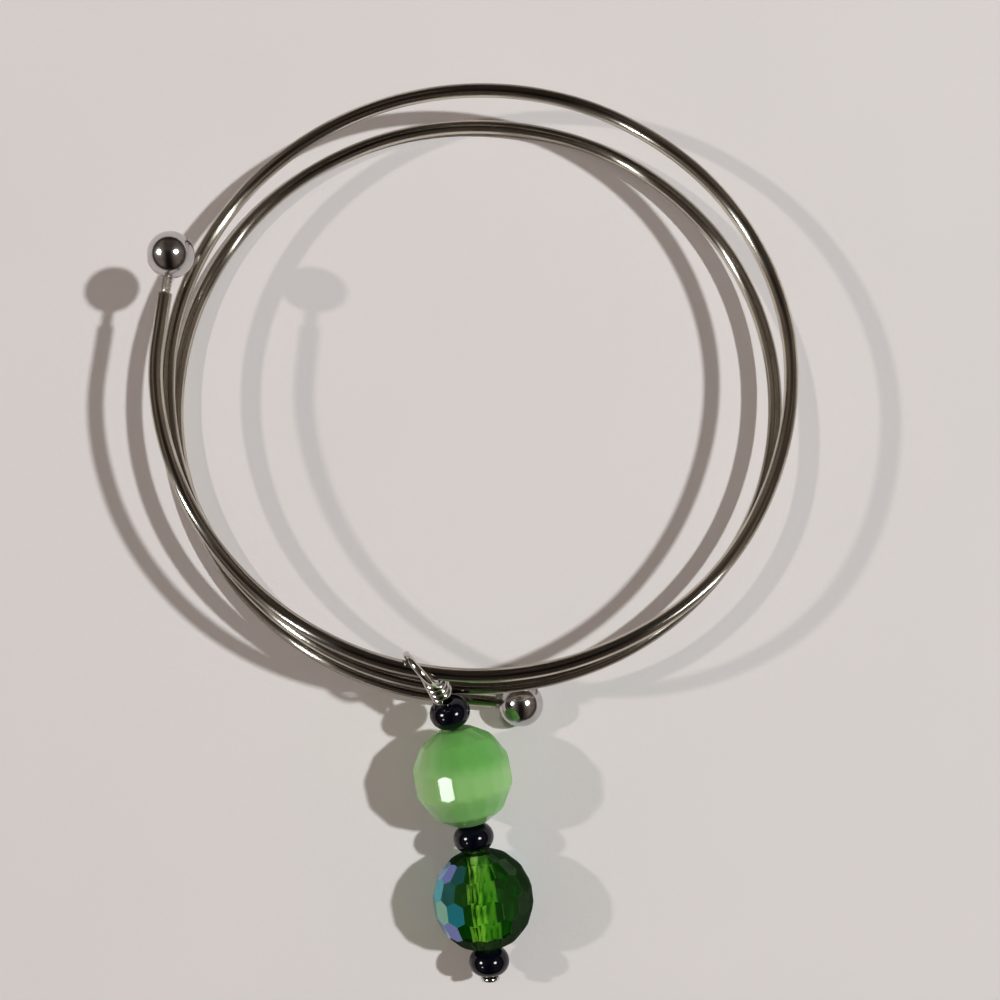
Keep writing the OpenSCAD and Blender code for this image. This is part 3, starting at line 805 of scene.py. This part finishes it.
# The mirror-like coat on one side of the crystal: each facet has its own tint, a little uneven
def makeCrystalCoat():
    look = coatLook
    material, nodes, links, shader = startMaterial("crystalCoat")
    tint = nodes.new("ShaderNodeAttribute")
    tint.attribute_name = "coatTint"
    patchy = noise(nodes, links, objectCoords(nodes), look["patchScale"], 2.0)
    patchy = mathNode(nodes, links, "MULTIPLY", patchy, look["patchShare"])
    shade = mixColour(nodes, links, patchy, tint.outputs["Color"], look["patch"])
    links.new(shade, shader.inputs["Base Color"])
    shader.inputs["Metallic"].default_value = look["metallic"]
    handled(nodes, links, shader, look)
    tintShadow(nodes, links, shader.outputs[0])
    return material


# Hexagons between two angles from the top, on the left side, take the coat, and the bore's four-sided
# strips take the frost. Every facet's tint goes by its place along the bead and round it.
def coatFacets(piece):
    mesh, look = piece.data, coatLook
    count = len(mesh.polygons)
    normals = np.zeros(count * 3)
    mesh.polygons.foreach_get("normal", normals)
    normals = normals.reshape(-1, 3)
    left = np.cross(up, crystalWay)
    left = unit(left if left[0] < 0 else -left)
    upright = np.cross(left, crystalWay)
    upright = upright if upright[2] > 0 else -upright
    fromTop = np.degrees(np.arctan2(normals @ left, normals @ upright)) % 360
    sizes = np.zeros(count, int)
    mesh.polygons.foreach_get("loop_total", sizes)
    lean = np.degrees(np.arcsin(np.clip(normals @ crystalWay, -1, 1)))
    row = np.round(look["middleRow"] + lean / look["rowStep"]).astype(int)
    coated = (fromTop > look["from"]) & (fromTop < look["to"]) & (sizes == 6)
    coated &= np.isin(row, list(look["rows"]))
    inBore = sizes == 4
    mesh.polygons.foreach_set("material_index", (coated * 1 + inBore * 2).astype(np.int32))
    column = np.clip((fromTop - look["from"]) / (360 / beadBuild["facets"]), 0, 2).astype(int)
    tints = np.ones((count, 4), np.float32)
    for coatRow, rowTints in look["rows"].items():
        tints[row == coatRow, :3] = np.array(rowTints)[column[row == coatRow]]
    mesh.attributes.new("coatTint", "FLOAT_COLOR", "FACE").data.foreach_set("color", tints.ravel())


# The drilled wall inside the crystal: frosted, and pale where the drill has left it rough. The facets
# gather light on its left, which is painted as a glow, emission in a lane that ends before the bead's flat
# ends.
boreLook = {"deep": (0.12, 0.28, 0.1, 1), "pale": (0.6, 0.62, 0.62, 1), "drillScale": (1900, 350, 1900),
            "paleFrom": 0.42, "paleTo": 0.58, "glowLane": (0.26, 0.36, 0.1, 1), "glowLaneFrom": 0.2, "glowLaneTo": -0.3,
            "endFrom": 4.7, "endTo": 3.7, "rough": 0.55, "bumpDepth": 0.01}


def makeBoreFrost():
    look = boreLook
    material, nodes, links, shader = startMaterial("boreFrost")
    coords = objectCoords(nodes)
    drilled = noise(nodes, links, stretched(nodes, links, coords, look["drillScale"]), 1.0, 3.0)
    paleness = fade(nodes, links, drilled, look["paleFrom"], look["paleTo"], soft=False)
    links.new(mixColour(nodes, links, paleness, look["deep"], look["pale"]), shader.inputs["Base Color"])
    heading = math.atan2(crystalWay[1], crystalWay[0]) + math.pi / 2
    split = splitWay(nodes, links, centredOn(nodes, links, coords, crystalPlace, heading))
    glowLane = fade(nodes, links, split["X"], look["glowLaneFrom"] * mm, look["glowLaneTo"] * mm)
    along = mathNode(nodes, links, "ABSOLUTE", split["Y"])
    inner = fade(nodes, links, along, look["endFrom"] * mm, look["endTo"] * mm)
    paintedGlow = mathNode(nodes, links, "MULTIPLY", glowLane, paleness)
    paintedGlow = mathNode(nodes, links, "MULTIPLY", paintedGlow, inner)
    # painted glow: emission stands in for the light that the facets gather on the wall
    links.new(mixColour(nodes, links, paintedGlow, (0, 0, 0, 1), look["glowLane"]), shader.inputs["Emission Color"])
    setPlain(shader, {"Emission Strength": 1.0, "Roughness": look["rough"]})
    addBump(nodes, links, shader, drilled, look["bumpDepth"])
    return material


catsEyeGlass, crystalGlass = makeCatsEyeGlass(), makeCrystalGlass()
crystalCoat, boreFrost = makeCrystalCoat(), makeBoreFrost()
print("made the glass")
finish(makePin(), [pinSilver], "charm_pin")
topPlace = seatOnBend(topCorner, neckWay, shankWay, pinBuild["neckBend"], blackLen / 2)
spacers = {
    "spacerTop": ("bead_black_top", topPlace, unit(neckWay + shankWay)),
    "spacerMiddle": ("bead_black_middle", topCorner + middleAt * shankWay, shankWay),
    "spacerBottom": ("bead_black_bottom", tailCorner + bottomAt * tailWay, tailWay)}
for name, (node, place, way) in spacers.items():
    finish(makeSpacer(name, place, way), [blackGlass], node)
catsEye = makeFacetedBead("catsEyeBead", catsEyeBuild, catsEyePlace, shankWay)
softenEdges(catsEye, catsEyeBuild)
finish(catsEye, [catsEyeGlass], "bead_cats_eye")
crystal = makeFacetedBead("crystalBead", crystalBuild, crystalPlace, crystalWay)
coatFacets(crystal)
softenEdges(crystal, crystalBuild)
finish(crystal, [crystalGlass, crystalCoat, boreFrost], "bead_crystal")

# The pale sheet that the bangle lies on
paperLook = {"low": (0.82, 0.785, 0.77, 1), "high": (0.86, 0.82, 0.805, 1), "cloudScale": 45.0,
             "grainScale": 1500.0, "grainDepth": 0.02, "half": 1500, "drop": 0.02,
             "plain": {"Roughness": 0.85, "Specular IOR Level": 0.25}}


def makePaper():
    look = paperLook
    material, nodes, links, shader = startMaterial("palePaper")
    coords = objectCoords(nodes)
    cloudy = noise(nodes, links, coords, look["cloudScale"], 4.0)
    links.new(mixColour(nodes, links, cloudy, look["low"], look["high"]), shader.inputs["Base Color"])
    setPlain(shader, look["plain"])
    addBump(nodes, links, shader, noise(nodes, links, coords, look["grainScale"], 3.0), look["grainDepth"])
    corners = np.array([[-1, -1, 0], [1, -1, 0], [1, 1, 0], [-1, 1, 0]]) * look["half"] - look["drop"] * up
    mesh = bpy.data.meshes.new("paper")
    mesh.from_pydata((corners * mm).tolist(), [], [(0, 1, 2, 3)])
    paper = bpy.data.objects.new("paper", mesh)
    mesh.materials.append(material)
    bpy.context.scene.collection.objects.link(paper)


# Lamps: heading and angle from the zenith in degrees, width as seen from the bangle in degrees, power
# in watts at that distance, colour, and height in degrees. The lamps light the bangle, and the glows
# are what polished metal and glass mirror of them, without light on the paper. Each glow is mirrored
# by the pieces that show it in the photo, and by no others.
coolWhite, warmWhite, dimBrown = (0.96, 0.99, 1.0), (1.0, 0.9, 0.86), (1.0, 0.86, 0.74)
lamps = {
    "mainLamp": (15.4, 35.1, 2.3, 9.0, coolWhite, 2.3),
    "secondLamp": (170.4, 48.6, 2.0, 3.2, warmWhite, 2.0),
    "softFill": (90, 8, 60, 1.1, warmWhite, 60),
}
onCatsEye, onWire = ("catsEyeBead", *spacers), ("wireCoil",)
onBright = ("ballUpper", "ballLower", "charmPin", *spacers)
glows = {
    "mainGlow": (15.4, 35.1, 16, 9, coolWhite, 16, onBright),
    "secondGlow": (170.4, 48.6, 16, 9, coolWhite, 16, onBright),
    "lowerGlow": (199.5, 50, 2.5, 4.0, coolWhite, 2.5, onWire),
    "cornerGlow": (232, 50, 2.5, 2.0, coolWhite, 2.5, onWire),
    "sideGlow": (326, 44, 2.5, 2.2, coolWhite, 45, onWire),
    "frontGlow": (270, 50, 50, 0.15, dimBrown, 50, onWire),
    "catsEyeGlow": (215, 45, 7, 1.4, coolWhite, 7, onCatsEye),
}
lampDistance = 1.2  # metres


def makeLamp(name, heading, zenith, width, power, colour, height, glow):
    light = bpy.data.lights.new(name, "AREA")
    light.shape = "ELLIPSE"
    light.size, light.size_y = (2 * lampDistance * math.tan(math.radians(a / 2)) for a in (height, width))
    light.energy, light.color = power, colour
    lamp = bpy.data.objects.new(name, light)
    lamp.location = -toward(heading + 180, 90 - zenith) * lampDistance
    lamp.rotation_euler = (0, math.radians(zenith), math.radians(heading))
    lamp.visible_glossy = lamp.visible_transmission = glow
    lamp.visible_diffuse = not glow
    bpy.context.scene.collection.objects.link(lamp)
    return lamp


def makeLamps():
    for name, look in lamps.items():
        makeLamp(name, *look, False)
    for name, (*look, mirroredBy) in glows.items():
        lit = bpy.data.collections.new(name + "Pieces")
        for pieceName in mirroredBy:
            lit.objects.link(bpy.data.objects[pieceName])
        makeLamp(name, *look, True).light_linking.receiver_collection = lit


# A dim room: near black overhead, soft uneven brown to both sides and a little behind, which fades
# lower down, and a pale band at the foot of the walls
roomLook = {"dark": (0.009, 0.006, 0.006, 1), "brown": (0.17, 0.14, 0.115, 1), "foot": (0.13, 0.11, 0.095, 1),
            "sideFade": (0.12, 0.62, 0.0, 1.0), "backFade": (0.0, 0.35, 0.0, 0.3),
            "lowFade": (0.08, 0.42, 0.0, 1.0), "footFade": (0.12, 0.03, 0.0, 1.0),
            "cloudScale": 2.6, "cloudDetail": 1.5, "cloudRough": 0.4, "cloudGain": 1.6, "cloudBase": 0.2}


def makeRoom():
    look = roomLook
    world = bpy.data.worlds.new("room")
    bpy.context.scene.world = world
    world.use_nodes = True
    nodes, links = world.node_tree.nodes, world.node_tree.links
    ways = nodes.new("ShaderNodeTexCoord").outputs["Generated"]
    split = splitWay(nodes, links, ways)
    side = fade(nodes, links, mathNode(nodes, links, "ABSOLUTE", split["X"]), *look["sideFade"])
    back = fade(nodes, links, split["Y"], *look["backFade"])
    low = fade(nodes, links, split["Z"], *look["lowFade"])
    foot = fade(nodes, links, split["Z"], *look["footFade"])
    brown = mathNode(nodes, links, "MULTIPLY", mathNode(nodes, links, "MAXIMUM", side, back), low)
    cloudy = noise(nodes, links, ways, look["cloudScale"], look["cloudDetail"], look["cloudRough"])
    cloudy = mathNode(nodes, links, "MULTIPLY_ADD", cloudy, look["cloudGain"], look["cloudBase"])
    brown = mathNode(nodes, links, "MULTIPLY", brown, cloudy, clamp=True)
    patches = mixColour(nodes, links, brown, look["dark"], look["brown"])
    links.new(mixColour(nodes, links, foot, patches, look["foot"]), nodes["Background"].inputs["Color"])


# The camera looks straight down: its place and half the width of its view, in millimetres
cameraBuild = {"place": (2.4, -10.9, 183), "halfView": 52}


def makeCamera():
    camera = bpy.data.objects.new("camera", bpy.data.cameras.new("camera"))
    bpy.context.scene.collection.objects.link(camera)
    camera.location = np.array(cameraBuild["place"]) * mm
    camera.data.angle = 2 * math.atan(cameraBuild["halfView"] / cameraBuild["place"][2])
    camera.data.clip_start = 0.01
    bpy.context.scene.camera = camera


makePaper()
makeLamps()
makeRoom()
makeCamera()
bpy.context.scene.view_settings.view_transform = "Standard"
print("made the paper, lamps, room and camera")
